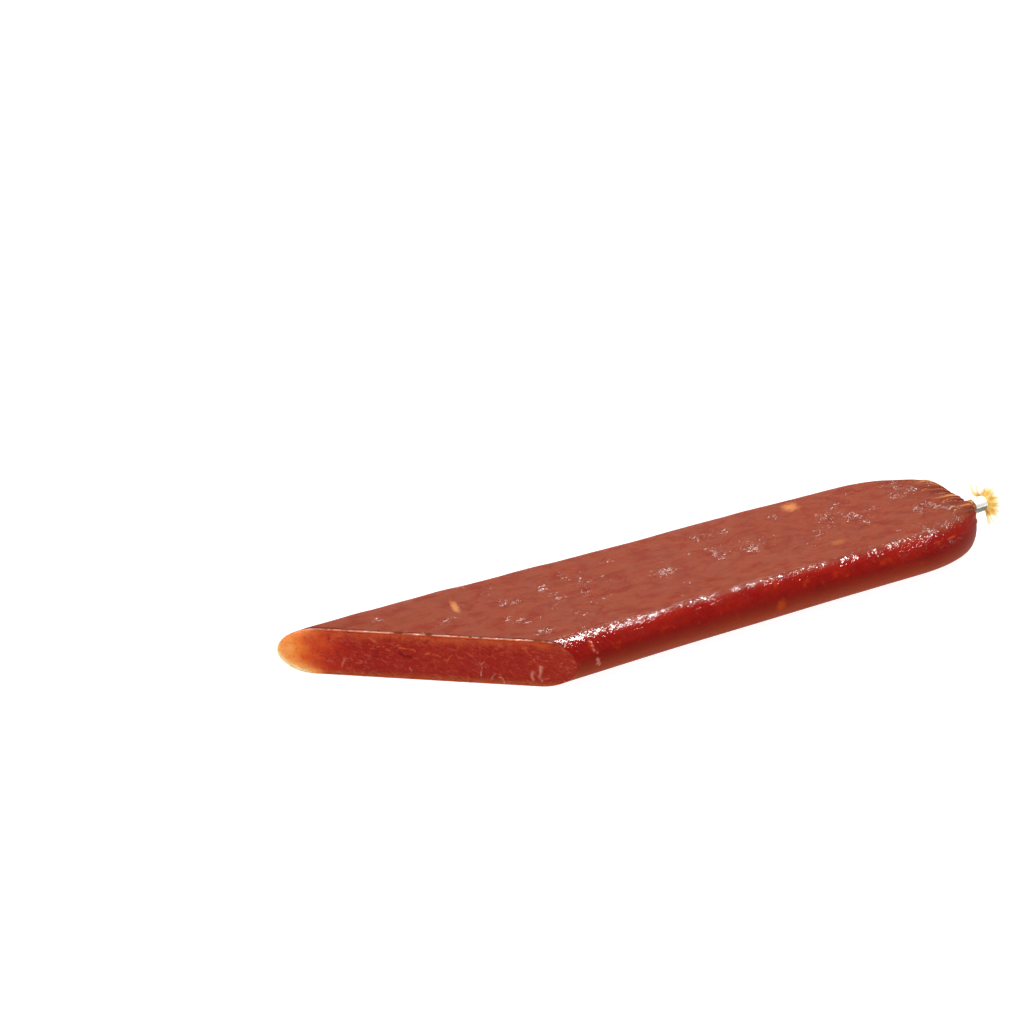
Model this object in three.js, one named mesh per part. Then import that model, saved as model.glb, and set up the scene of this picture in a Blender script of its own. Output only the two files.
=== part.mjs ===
// A pressed, dry-cured sausage stick in its natural casing. One end is cut across on a bias.
// The casing of the other end is gathered into a short neck that a crimped aluminium clip closes,
// and past the clip it flares out as a dry, ruffled tail.
// Units are millimetres. X runs along the stick towards the clip, Z is up, and the stick lies flat.
import * as THREE from "three";
import { mergeVertices } from "three/addons/utils/BufferGeometryUtils.js";

// The stick
const LENGTH = 196.5; // along the middle line, from the end face at the neck to the cut
const WIDTH = 52; // at the cut
const THICKNESS = 15;
const NEAR_ROUND = 6.5; // how far the round of each long side reaches in
const FAR_ROUND = 7.2;
const NEAR_NARROWING = 0.074; // share of the half width lost between the cut and the nose
const FAR_NARROWING = 0.112;
const NARROWING_CURVE = 1.2; // above 1, most of the narrowing is near the nose
const CUT_ANGLE = THREE.MathUtils.degToRad(36.3); // between the cut and the stick's length

// Unevenness of a hand-pressed stick, as waves: length over two pi, height and phase
const NEAR_SWAY = [[24, 0.4, 3.1], [9, 0.1, -0.4]];
const FAR_SWAY = [[15.5, 0.55, 0.85], [9, 0.1, -2.1]];
const CROWN_SWAY = [[29, 0.2, 1.2], [12, 0.1, -1.2]];

// The nose, where the plan closes in on the neck
const NEAR_NOSE = 33;
const FAR_NOSE = 34.5;
const NEAR_FULLNESS = 2.15; // 2 is an ellipse, and more is fuller
const FAR_FULLNESS = 1.92;
const END_ROUND = 8; // length over which the thickness closes
const NECK_OFFSET = -2.4; // the neck sits a little off the middle line
const NECK_OFFSET_REACH = 25;
const NECK_DROP = -0.7; // and a little low
const NECK_DROP_REACH = 5;
const NECK_LEAN = THREE.MathUtils.degToRad(1); // it points up slightly
const SHEAR_START = 46; // behind this distance the rings start to lean towards the cut

// The neck and its gathers
const NECK_RADIUS = 1.6;
const NECK_FLARE = 1.6; // extra radius at the end face
const NECK_FLARE_CURVE = 0.45; // below 1, the collar stays wide up to the clip
const NECK_INTO_NOSE = 6; // how far the neck's radius carries on into the nose
const COLLAR_LENGTH = 3.4; // how far beyond the end face the collar reaches
const NECK_OUT = 3.7; // from the end face to the clip
const PLEATS = 17;
const PLEAT_DEPTH = 0.75;
const PLEAT_REACH = 9;
const PLEAT_FADE = [0.4, 0.75]; // shares of the half width between which the gathers die out
const PLEAT_ON_NECK = 0.3; // share of the depth left inside the clip
const PLEAT_DRIFTS = [[3, 1.3], [7, 0.6]]; // waves round the neck, and how far each moves the gathers

// The clip: a strip wound once round the neck, its outer end lapped over the near side
const CLIP_LENGTH = 4.7;
const CLIP_STRIP = 0.4;
const CLIP_GAP = 0.35;
const CLIP_LAP = THREE.MathUtils.degToRad(125);
const CLIP_LAP_GAP = 0.06;
const CLIP_STEP_TURN = 0.8; // radians over which the strip steps out to lap
const CLIP_START = THREE.MathUtils.degToRad(129); // where the inner end is, from the underside
const CLIP_BEVEL = 0.1;

// The tail: a pleated film that opens like a fan, with longer shreds to the upper far side and below
const TAIL_GAP = 0.3; // between the neck's end and the tail's root, both inside the clip
const TAIL_START = 0.25; // how far beyond the clip it starts to open
const TAIL_REACH = 2.7;
const TAIL_RADIUS = 4.9;
const TAIL_FILM = 0.4;
const TAIL_ROOT_FILM = 0.2; // where the opening of the tail starts, as a share of the way out
const TAIL_FOLDS = 9;
const FOLD_DEPTH = 0.35;
const FRAY_DEPTH = 0.05;
const FRAYS = 23;
const SHREDS = [[30, 4.3, 10], [53, 3, 6], [213, 2.6, 7], [235, 3.3, 8]]; // direction, length and spread
const SHRED_FLATNESS = 0.6; // how much less far than the fan the shreds reach along the stick

// Mesh steps
const ARC_STEPS = 15;
const FLAT_STEPS = 33;
const COLLAR_RINGS = 5;
const COLLAR_RING_CURVE = 1.6; // above 1, the rings crowd towards the clip
const NOSE_RINGS = 17;
const NOSE_RING_CURVE = 2.1; // above 1, the rings crowd towards the neck
const BODY_RINGS = 11;
const CLIP_STEPS = 44;
const TAIL_STEPS = 96;
const TAIL_RINGS = 5;

const MID_HEIGHT = THICKNESS / 2;
const NECK_END = NECK_OUT + CLIP_LENGTH * 0.45;
const CLIP_END = NECK_OUT + CLIP_LENGTH;

function sway(x, waves) {
  return waves.reduce((sum, [length, height, phase]) => sum + height * Math.sin(x / length + phase), 0);
}

// The rounding law of the nose: 0 at the end face, 1 once the full size is reached
function swell(distance, reach, fullness) {
  const u = THREE.MathUtils.clamp(distance / reach, 0, 1);
  return Math.pow(1 - Math.pow(1 - u, fullness), 1 / fullness);
}

// The larger of two lengths, rounded over where they are alike. Both have the same sign.
function blended(first, second) {
  return Math.cbrt(first ** 3 + second ** 3);
}

// Angle round the stick's long axis, as if the flat section were a circle
function turnOf(y, z) {
  return Math.atan2(z, (y * THICKNESS) / WIDTH);
}

// The full cross-section as y, z above the middle, normal y and normal z, anticlockwise seen from +X
function crossSection() {
  const half = WIDTH / 2;
  const points = [];
  const arc = (side, round, from) => {
    for (let i = 0; i < ARC_STEPS; i++) {
      const a = from + (Math.PI * i) / ARC_STEPS;
      const y = side * (half - round) + round * Math.cos(a);
      const normal = new THREE.Vector2(Math.cos(a) / round, Math.sin(a) / MID_HEIGHT).normalize();
      points.push([y, MID_HEIGHT * Math.sin(a), normal.x, normal.y]);
    }
  };
  const flat = (from, to, level) => {
    for (let i = 0; i < FLAT_STEPS; i++) {
      points.push([THREE.MathUtils.lerp(from, to, i / FLAT_STEPS), level * MID_HEIGHT, 0, level]);
    }
  };
  arc(1, FAR_ROUND, -Math.PI / 2);
  flat(half - FAR_ROUND, -(half - NEAR_ROUND), 1);
  arc(-1, NEAR_ROUND, Math.PI / 2);
  flat(-(half - NEAR_ROUND), half - FAR_ROUND, -1);
  return points;
}

// How deep the gathers are at a point, as a depth below the smooth surface
function pleat(x, y, z) {
  const turn = turnOf(y, z);
  const drift = PLEAT_DRIFTS.reduce((sum, [waves, size]) => sum + size * Math.sin(waves * turn), 0);
  const valley = 0.5 - 0.5 * Math.sin(PLEATS * turn + drift);
  const across = THREE.MathUtils.clamp((2 * Math.abs(y)) / WIDTH, 0, 1);
  const [nose, fullness] = y < 0 ? [NEAR_NOSE, NEAR_FULLNESS] : [FAR_NOSE, FAR_FULLNESS];
  const rim = -nose * (1 - Math.pow(1 - Math.pow(across, fullness), 1 / fullness));
  const fade = 1 - THREE.MathUtils.smoothstep(across, ...PLEAT_FADE);
  return PLEAT_DEPTH * fade * Math.exp(-Math.max(rim - x, 0) / PLEAT_REACH) * valley;
}

// A point round the neck's leaning axis. lean is how far the ring that holds it has turned with it.
function onNeck(along, y, z, lean) {
  return [
    along * Math.cos(NECK_LEAN) - z * Math.sin(lean),
    y + NECK_OFFSET,
    along * Math.sin(NECK_LEAN) + z * Math.cos(lean) + NECK_DROP,
  ];
}

// One ring of the neck, at a distance beyond the end face
function neckRing(section, along) {
  const toClip = Math.min(along / COLLAR_LENGTH, 1);
  const flare = Math.pow(1 - toClip, NECK_FLARE_CURVE);
  const radius = NECK_RADIUS + NECK_FLARE * flare;
  const share = THREE.MathUtils.lerp(PLEAT_ON_NECK, 2 * PLEAT_ON_NECK, flare);
  return section.map(([y0, z0]) => {
    const turn = turnOf(y0, z0);
    const gathered = radius - pleat(along, radius * Math.cos(turn), radius * Math.sin(turn)) * share;
    return onNeck(along, gathered * Math.cos(turn), gathered * Math.sin(turn), NECK_LEAN * toClip);
  });
}

// One ring of the nose or the body. share runs from 0 behind the nose to 1 at the cut, and x is where
// the ring starts before it leans.
function stickRing(section, x, share) {
  const thickNose = swell(-x, END_ROUND, 2);
  const neck = (NECK_RADIUS + NECK_FLARE) * Math.exp(x / NECK_INTO_NOSE);
  const offset = NECK_OFFSET * Math.exp(x / NECK_OFFSET_REACH);
  const drop = NECK_DROP * Math.exp(x / NECK_DROP_REACH);
  return section.map(([y0, z0, ny, nz]) => {
    const along = x + share * (-LENGTH - y0 / Math.tan(CUT_ANGLE) + SHEAR_START);
    const fromCut = THREE.MathUtils.clamp(1 + along / LENGTH, 0, 1);
    const narrowing = y0 < 0 ? NEAR_NARROWING : FAR_NARROWING;
    const full = y0 * (1 - narrowing * Math.pow(fromCut, NARROWING_CURVE));
    const widthNose = y0 < 0 ? swell(-x, NEAR_NOSE, NEAR_FULLNESS) : swell(-x, FAR_NOSE, FAR_FULLNESS);
    const turn = turnOf(y0, z0);
    const side = sway(along, y0 < 0 ? NEAR_SWAY : FAR_SWAY) * ny * thickNose;
    const crown = sway(along + y0, CROWN_SWAY) * Math.max(nz, 0) * thickNose;
    const y = blended(full * widthNose, neck * Math.cos(turn)) + side;
    const z = blended(z0 * thickNose, neck * Math.sin(turn)) + crown + drop;
    const restsFlat = nz < 0 && x < -END_ROUND / 2;
    const depth = restsFlat ? 0 : pleat(along, y, z);
    return [along, y - depth * ny + offset, Math.max(z - depth * nz, -MID_HEIGHT)];
  });
}

// Joins rings of equally many points into one closed geometry, with a fan over each end
function loft(rings, firstTip, lastTip) {
  const count = rings[0].length;
  const positions = [...rings.flat(2), ...firstTip, ...lastTip];
  const first = rings.length * count;
  const last = first - count;
  const index = [];
  for (let i = 0; i < count; i++) {
    const next = (i + 1) % count;
    for (let ring = 0; ring < last; ring += count) {
      const a = ring + i;
      const b = ring + next;
      index.push(a, a + count, b, b, a + count, b + count);
    }
    index.push(first, i, next);
    index.push(first + 1, last + next, last + i);
  }
  const geometry = new THREE.BufferGeometry();
  geometry.setAttribute("position", new THREE.Float32BufferAttribute(positions, 3));
  geometry.setIndex(index);
  return geometry;
}

function stickGeometry() {
  const section = crossSection();
  const rings = [neckRing(section, NECK_END)];
  for (let i = 0; i < COLLAR_RINGS; i++) {
    const share = 1 - Math.pow(i / COLLAR_RINGS, COLLAR_RING_CURVE);
    rings.push(neckRing(section, COLLAR_LENGTH * share));
  }
  for (let i = 0; i < NOSE_RINGS; i++) {
    const share = (i + 0.2) / (NOSE_RINGS - 0.8); // the first ring is just behind the end face
    rings.push(stickRing(section, -SHEAR_START * Math.pow(share, NOSE_RING_CURVE), 0));
  }
  for (let i = 1; i <= BODY_RINGS; i++) {
    rings.push(stickRing(section, -SHEAR_START, i / BODY_RINGS));
  }
  return loft(rings, onNeck(NECK_END, 0, 0, NECK_LEAN), [-LENGTH, 0, 0]);
}

function clipGeometry() {
  const lapStart = 2 * Math.PI - CLIP_STEP_TURN;
  const corner = (step, extra) => {
    const turn = ((2 * Math.PI + CLIP_LAP) * step) / CLIP_STEPS;
    const lapping = THREE.MathUtils.smoothstep(turn, lapStart, 2 * Math.PI);
    const radius = NECK_RADIUS + CLIP_GAP + lapping * (CLIP_STRIP + CLIP_LAP_GAP) + extra;
    return new THREE.Vector2(Math.cos(CLIP_START + turn), Math.sin(CLIP_START + turn)).multiplyScalar(radius);
  };
  const outline = [];
  for (let i = 0; i <= CLIP_STEPS; i++) {
    outline.push(corner(i, CLIP_STRIP - CLIP_BEVEL));
  }
  for (let i = CLIP_STEPS; i >= 0; i--) {
    outline.push(corner(i, CLIP_BEVEL));
  }
  const strip = new THREE.ExtrudeGeometry(new THREE.Shape(outline), {
    depth: CLIP_LENGTH - 2 * CLIP_BEVEL,
    steps: 1,
    bevelEnabled: true,
    bevelThickness: CLIP_BEVEL,
    bevelSize: CLIP_BEVEL,
    bevelSegments: 1,
  });
  return strip.translate(0, 0, CLIP_BEVEL).rotateY(Math.PI / 2);
}

// A point of the tail's film. out is 0 at the clip and 1 at the ragged edge, and inset goes inwards.
function tailPoint(turn, out, inset) {
  const shreds = SHREDS.map(([direction, length, spread]) => {
    const apart = 1 - Math.cos(turn - THREE.MathUtils.degToRad(direction));
    return length * Math.exp(-2 * apart / THREE.MathUtils.degToRad(spread) ** 2);
  });
  const longest = Math.max(...shreds);
  const wide = TAIL_RADIUS * (1 + FRAY_DEPTH * Math.sin(FRAYS * turn)) + longest;
  const radius = THREE.MathUtils.lerp(NECK_RADIUS, wide, out) - inset / 2;
  const reach = TAIL_REACH * (1 - SHRED_FLATNESS * Math.min(longest / SHREDS[0][1], 1));
  const fold = FOLD_DEPTH * Math.sin(TAIL_FOLDS * turn + Math.sin(2 * turn));
  return [TAIL_START + (reach + fold) * out + inset, radius * Math.cos(turn), radius * Math.sin(turn)];
}

function tailGeometry() {
  const root = NECK_END + TAIL_GAP - CLIP_END;
  const ring = (out, inset) => Array.from({ length: TAIL_STEPS }, (_, i) => {
    return tailPoint((2 * Math.PI * i) / TAIL_STEPS, out, inset);
  });
  const rings = [];
  for (let i = 0; i <= TAIL_RINGS; i++) {
    rings.push(ring(THREE.MathUtils.lerp(TAIL_ROOT_FILM, 1, i / TAIL_RINGS), TAIL_FILM));
  }
  for (let i = TAIL_RINGS; i >= 0; i--) {
    rings.push(ring(i / TAIL_RINGS, 0));
  }
  rings.push(rings[rings.length - 1].map(([, y, z]) => [root, y, z]));
  return loft(rings, [TAIL_START + TAIL_REACH * TAIL_ROOT_FILM, 0, 0], [root, 0, 0]);
}

function piece(name, geometry, color, roughness, metalness) {
  const solid = mergeVertices(geometry.deleteAttribute("uv").deleteAttribute("normal"), 1e-4);
  solid.computeVertexNormals();
  const mesh = new THREE.Mesh(solid, new THREE.MeshStandardMaterial({ color, roughness, metalness }));
  mesh.name = name;
  return mesh;
}

const stick = piece("sausage", stickGeometry(), 0x9a2c1c, 0.35, 0);

const closure = new THREE.Group();
const clip = piece("clip", clipGeometry(), 0xc9cac6, 0.3, 0.9);
clip.position.x = NECK_OUT;
const tail = piece("casing_tail", tailGeometry(), 0xe2b45a, 0.55, 0);
tail.position.x = CLIP_END;
closure.add(clip, tail);
closure.position.set(0, NECK_OFFSET, NECK_DROP);
closure.rotation.y = -NECK_LEAN;

// The part's origin is under the middle of the whole, on the surface that it lies on
const part = new THREE.Group();
part.add(stick, closure);
const extent = new THREE.Box3().setFromObject(part);
const middle = extent.getCenter(new THREE.Vector3());
part.position.set(-middle.x, -middle.y, -extent.min.z);

export default part;
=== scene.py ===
# The looks of a pressed, dry-cured sausage stick: its casing, its cut face, its clip and its tail.
# Shapes are worked out in millimetres from the stick's driving sizes, and placed in metres.
import itertools
import math

import bpy
import numpy as np
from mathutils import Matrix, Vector


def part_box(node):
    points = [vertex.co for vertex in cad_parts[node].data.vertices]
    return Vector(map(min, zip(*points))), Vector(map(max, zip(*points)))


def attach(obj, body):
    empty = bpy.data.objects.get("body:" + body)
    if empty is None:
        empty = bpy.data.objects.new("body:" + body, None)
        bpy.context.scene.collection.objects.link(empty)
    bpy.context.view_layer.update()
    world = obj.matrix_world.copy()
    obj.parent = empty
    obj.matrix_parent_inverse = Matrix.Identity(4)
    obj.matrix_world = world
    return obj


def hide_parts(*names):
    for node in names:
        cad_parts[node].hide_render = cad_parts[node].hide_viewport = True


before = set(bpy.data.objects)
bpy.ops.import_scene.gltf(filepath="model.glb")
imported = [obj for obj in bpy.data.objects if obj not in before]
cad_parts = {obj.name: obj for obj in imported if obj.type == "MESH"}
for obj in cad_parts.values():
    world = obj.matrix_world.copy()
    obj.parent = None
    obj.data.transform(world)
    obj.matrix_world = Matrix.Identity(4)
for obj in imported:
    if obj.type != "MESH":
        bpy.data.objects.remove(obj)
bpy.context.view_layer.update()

scene = bpy.context.scene
MM = 0.001

# The stick. A pair of numbers is for its near and its far side.
LENGTH = 196.5
WIDTH = 52.0
THICKNESS = 15.0
NEAR_ROUND = 6.5
FAR_ROUND = 7.2
NARROWING = (0.074, 0.112)
NARROWING_CURVE = 1.2
CUT_ANGLE = math.radians(36.3)
MID = THICKNESS / 2

# Unevenness of a hand-pressed stick, as waves: length over two pi, height and phase
NEAR_SWAY = ((24.0, 0.4, 3.1), (9.0, 0.1, -0.4))
FAR_SWAY = ((15.5, 0.55, 0.85), (9.0, 0.1, -2.1))
CROWN_SWAY = ((29.0, 0.2, 1.2), (12.0, 0.1, -1.2))

# The nose and the neck
NOSE = (33.0, 34.5)
FULLNESS = (2.15, 1.92)
END_ROUND = 8.0
NECK_OFFSET = -2.4
NECK_OFFSET_REACH = 25.0
NECK_DROP = -0.7
NECK_DROP_REACH = 5.0
NECK_LEAN = math.radians(1)
SHEAR_START = 46.0
NECK_RADIUS = 1.6
NECK_FLARE = 1.4
NECK_FLARE_CURVE = 0.1
NECK_INTO_NOSE = 6.0
COLLAR_LENGTH = 3.62
NECK_OUT = 3.7
CLIP_LENGTH = 4.7
NECK_END = NECK_OUT + CLIP_LENGTH * 0.45
CLIP_END = NECK_OUT + CLIP_LENGTH

# The gathers: 17 large ones, and finer ones between them
PLEATS = 17
PLEAT_DEPTH = 0.75
PLEAT_REACH = 9.0
PLEAT_FADE = (0.4, 0.75)
PLEAT_ON_NECK = 0.3
PLEAT_DRIFTS = ((3, 1.3), (7, 0.6))
FINE_PLEATS = 61
FINE_PLEAT_DEPTH = 0.36
FINE_PLEAT_REACH = 7.0
FINE_PLEAT_DRIFTS = ((4, 2.1), (9, 1.2))


# Large factors that scatter whole numbers
CELL_FACTORS = np.array([73856093, 19349663, 83492791], dtype=np.int64)
SEED_FACTOR = 1013904223
MIX_FACTOR = 1274126177


def hashed(cells, seed):
    """A repeatable random number from 0 to 1 for each whole-number cell."""
    mixed = (cells * CELL_FACTORS).sum(-1)
    mixed = (mixed + seed * SEED_FACTOR) & 0x7FFFFFFF
    mixed = ((mixed ^ (mixed >> 13)) * MIX_FACTOR) & 0x7FFFFFFF
    return ((mixed ^ (mixed >> 16)) & 0xFFFFF) / 0xFFFFF


def noise(points, size, seed):
    """Smooth noise from -1 to 1, whose lumps are as wide as size along each axis."""
    scaled = points / np.asarray(size, float)
    cell = np.floor(scaled).astype(np.int64)
    part = scaled - cell
    part = part * part * (3 - 2 * part)
    total = 0
    for corner in itertools.product((0, 1), repeat=3):
        weight = np.where(corner, part, 1 - part).prod(-1)
        total = total + weight * hashed(cell + np.array(corner), seed)
    return 2 * total - 1


def smoothstep(low, high, value):
    t = np.clip((value - low) / (high - low), 0, 1)
    return t * t * (3 - 2 * t)


def sway(x, waves):
    return sum(height * np.sin(x / length + phase) for length, height, phase in waves)


def by_side(y, near_and_far):
    return np.where(y < 0, *near_and_far)


def swell(distance, reach, fullness):
    """The rounding law of the nose: 0 at the end face, 1 once the full size is reached."""
    u = np.clip(distance / reach, 0, 1)
    return (1 - (1 - u) ** fullness) ** (1 / fullness)


def turn_of(y, z):
    """Angle round the long axis, as if the flat section were a circle."""
    return np.arctan2(z, y * THICKNESS / WIDTH)


def section(far, top, near, bottom):
    """The cross-section as rows of y, z above the middle, and the normal's y and z, from the far
    side's bottom up and round. The arguments are the steps in each of its four stretches."""

    def arc(side, reach, start, steps):
        a = start + math.pi * np.arange(steps) / steps
        normal = np.stack([np.cos(a) / reach, np.sin(a) / MID], -1)
        normal /= np.linalg.norm(normal, axis=-1, keepdims=True)
        y = side * (WIDTH / 2 - reach) + reach * np.cos(a)
        return np.column_stack([y, MID * np.sin(a), normal])

    def flat(start, end, level, steps):
        y = start + (end - start) * np.arange(steps) / steps
        return np.column_stack([y, np.full(steps, level * MID), np.zeros(steps), np.full(steps, level)])

    far_start = WIDTH / 2 - FAR_ROUND
    near_start = -(WIDTH / 2 - NEAR_ROUND)
    return np.vstack([
        arc(1, FAR_ROUND, -math.pi / 2, far),
        flat(far_start, near_start, 1, top),
        arc(-1, NEAR_ROUND, math.pi / 2, near),
        flat(near_start, far_start, -1, bottom),
    ])


def girth(rows):
    """Distance of each point round the section from the first, and the whole way round."""
    closed = np.vstack([rows, rows[:1]])[:, :2]
    steps = np.linalg.norm(np.diff(closed, axis=0), axis=1)
    distances = np.concatenate([[0], np.cumsum(steps)])
    return distances[:-1], distances[-1]


def valleys(turn, count, drifts):
    """How far down each point is between two gathers, from 0 on a ridge to 1."""
    drift = sum(size * np.sin(waves * turn) for waves, size in drifts)
    return 0.5 - 0.5 * np.sin(count * turn + drift)


def pleats(x, y, z):
    """Depth of the gathers below the smooth surface."""
    turn = turn_of(y, z)
    across = np.clip(2 * np.abs(y) / WIDTH, 0, 1)
    fullness = by_side(y, FULLNESS)
    rim = -by_side(y, NOSE) * (1 - (1 - across**fullness) ** (1 / fullness))
    inland = np.maximum(rim - x, 0)
    fade = smoothstep(PLEAT_FADE[1], PLEAT_FADE[0], across)
    large = PLEAT_DEPTH * fade * np.exp(-inland / PLEAT_REACH) * valleys(turn, PLEATS, PLEAT_DRIFTS)
    fine = fade * np.exp(-inland / FINE_PLEAT_REACH) * valleys(turn, FINE_PLEATS, FINE_PLEAT_DRIFTS)
    return large, FINE_PLEAT_DEPTH * fine


def on_neck(along, y, z, lean=NECK_LEAN):
    """Points round the neck's leaning axis. lean is how far the ring of each has turned with it."""
    return np.stack(np.broadcast_arrays(
        along * math.cos(NECK_LEAN) - z * np.sin(lean),
        y + NECK_OFFSET,
        along * math.sin(NECK_LEAN) + z * np.cos(lean) + NECK_DROP,
    ), -1)


def neck_rings(rows, along):
    """Rings of the neck, at distances beyond the end face that are given as a column."""
    to_clip = np.minimum(along / COLLAR_LENGTH, 1)
    flare = (1 - to_clip) ** NECK_FLARE_CURVE
    radius = NECK_RADIUS + NECK_FLARE * flare
    turn = turn_of(rows[:, 0], rows[:, 1])
    large, fine = pleats(along, radius * np.cos(turn), radius * np.sin(turn))
    gathered = radius - large * PLEAT_ON_NECK * (1 + flare) - fine * (0.3 + flare)
    return on_neck(along, gathered * np.cos(turn), gathered * np.sin(turn), NECK_LEAN * to_clip)


def blended(first, second):
    """The larger of two lengths, rounded over where they are alike."""
    return np.cbrt(first**3 + second**3)


def stick_rings(rows, x, share):
    """Rings of the nose and the body. share runs from 0 behind the nose to 1 at the cut."""
    y0, z0, ny, nz = rows.T
    fullness = by_side(y0, FULLNESS)
    width_nose = swell(-x, by_side(y0, NOSE), fullness)
    thick_nose = swell(-x, END_ROUND, 2)
    neck = (NECK_RADIUS + NECK_FLARE) * np.exp(x / NECK_INTO_NOSE)
    offset = NECK_OFFSET * np.exp(x / NECK_OFFSET_REACH)
    drop = NECK_DROP * np.exp(x / NECK_DROP_REACH)
    along = x + share * (-LENGTH - y0 / math.tan(CUT_ANGLE) + SHEAR_START)
    from_cut = np.clip(1 + along / LENGTH, 0, 1)
    full = y0 * (1 - by_side(y0, NARROWING) * from_cut**NARROWING_CURVE)
    turn = turn_of(y0, z0)
    side = by_side(y0, (sway(along, NEAR_SWAY), sway(along, FAR_SWAY))) * ny * thick_nose
    crown = sway(along + y0, CROWN_SWAY) * np.maximum(nz, 0) * thick_nose
    y = blended(full * width_nose, neck * np.cos(turn)) + side
    z = blended(z0 * thick_nose, neck * np.sin(turn)) + crown + drop
    large, fine = pleats(along, y, z)
    depth = np.where((nz < 0) & (x < -END_ROUND / 2), 0, large + fine)
    return np.stack([along, y - depth * ny + offset, np.maximum(z - depth * nz, -MID)], -1)


def stick_origin():
    """The place of the end face's middle in the frame, in metres."""
    low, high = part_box("sausage")
    rings = stick_rings(section(24, 60, 24, 60), -SHEAR_START, np.linspace(0, 1, 60)[:, None])
    middle = (rings[..., 1].min() + rings[..., 1].max()) / 2
    neck_end = NECK_END * math.cos(NECK_LEAN) + NECK_RADIUS * math.sin(NECK_LEAN)
    return Vector((high.x - neck_end * MM, (low.y + high.y) / 2 - middle * MM, low.z + MID * MM))


ORIGIN = stick_origin()


# The fields that hold a place; the others hold one number
VECTOR_FIELDS = ("skin", "cut")


class Shell:
    """Collects points with named fields, and the faces between them, each with a material."""

    def __init__(self):
        self.points = []
        self.fields = {}
        self.faces = []
        self.materials = []
        self.count = 0

    def add(self, points, **fields):
        """Adds points of any array shape, and returns their numbers in the same shape. A field that
        isn't given is 0 at these points."""
        shape = points.shape[:-1]
        numbers = self.count + np.arange(math.prod(shape)).reshape(shape)
        for name, values in fields.items():
            full = np.broadcast_to(values, points.shape if name in VECTOR_FIELDS else shape)
            self.fields.setdefault(name, []).append((numbers, full))
        self.points.append(points.reshape(-1, 3))
        self.count += numbers.size
        return numbers

    def add_faces(self, corners, material=0):
        self.faces.extend(corners.tolist())
        self.materials.extend([material] * len(corners))

    def tube(self, numbers, material=0):
        """Joins neighbouring rows of a grid of numbers, each of them a closed ring."""
        after = np.roll(numbers, -1, axis=1)
        corners = np.stack([numbers[:-1], numbers[1:], after[1:], after[:-1]], -1)
        self.add_faces(corners.reshape(-1, 4), material)

    def zip_rings(self, first, first_at, second, second_at):
        """Joins two rings of unlike counts by triangles. at runs from 0 to 1 round each ring."""
        rings = (first, second)
        ends = [(at, side) for side, ats in enumerate((first_at, second_at)) for at in (*ats[1:], 1.0)]
        steps = [0, 0]
        triangles = []
        for _, side in sorted(ends):
            here = [ring[step % len(ring)] for ring, step in zip(rings, steps)]
            steps[side] += 1
            triangles.append([*here, rings[side][steps[side] % len(rings[side])]])
        self.add_faces(np.array(triangles))

    def cap(self, ring, tip, **fields):
        """Closes a ring of numbers by a fan round a new point."""
        number = self.add(np.reshape(tip, (1, 3)), **fields)[0]
        self.add_faces(np.stack([np.full(len(ring), number), ring, np.roll(ring, -1)], -1))

    def build(self, name, materials):
        """Makes the object, with each field as an attribute of its points."""
        mesh = bpy.data.meshes.new(name)
        points = np.concatenate(self.points) * MM + np.array(ORIGIN)
        mesh.from_pydata(points.tolist(), [], self.faces)
        for material in materials:
            mesh.materials.append(material)
        mesh.polygons.foreach_set("material_index", self.materials)
        mesh.polygons.foreach_set("use_smooth", [True] * len(mesh.polygons))
        for field, batches in self.fields.items():
            vector = field in VECTOR_FIELDS
            values = np.zeros((self.count, 3) if vector else self.count)
            for numbers, given in batches:
                values[numbers] = given
            attribute = mesh.attributes.new(field, "FLOAT_VECTOR" if vector else "FLOAT", "POINT")
            attribute.data.foreach_set("vector" if vector else "value", values.ravel())
        mesh.update()
        piece = bpy.data.objects.new(name, mesh)
        scene.collection.objects.link(piece)
        return piece


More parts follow.
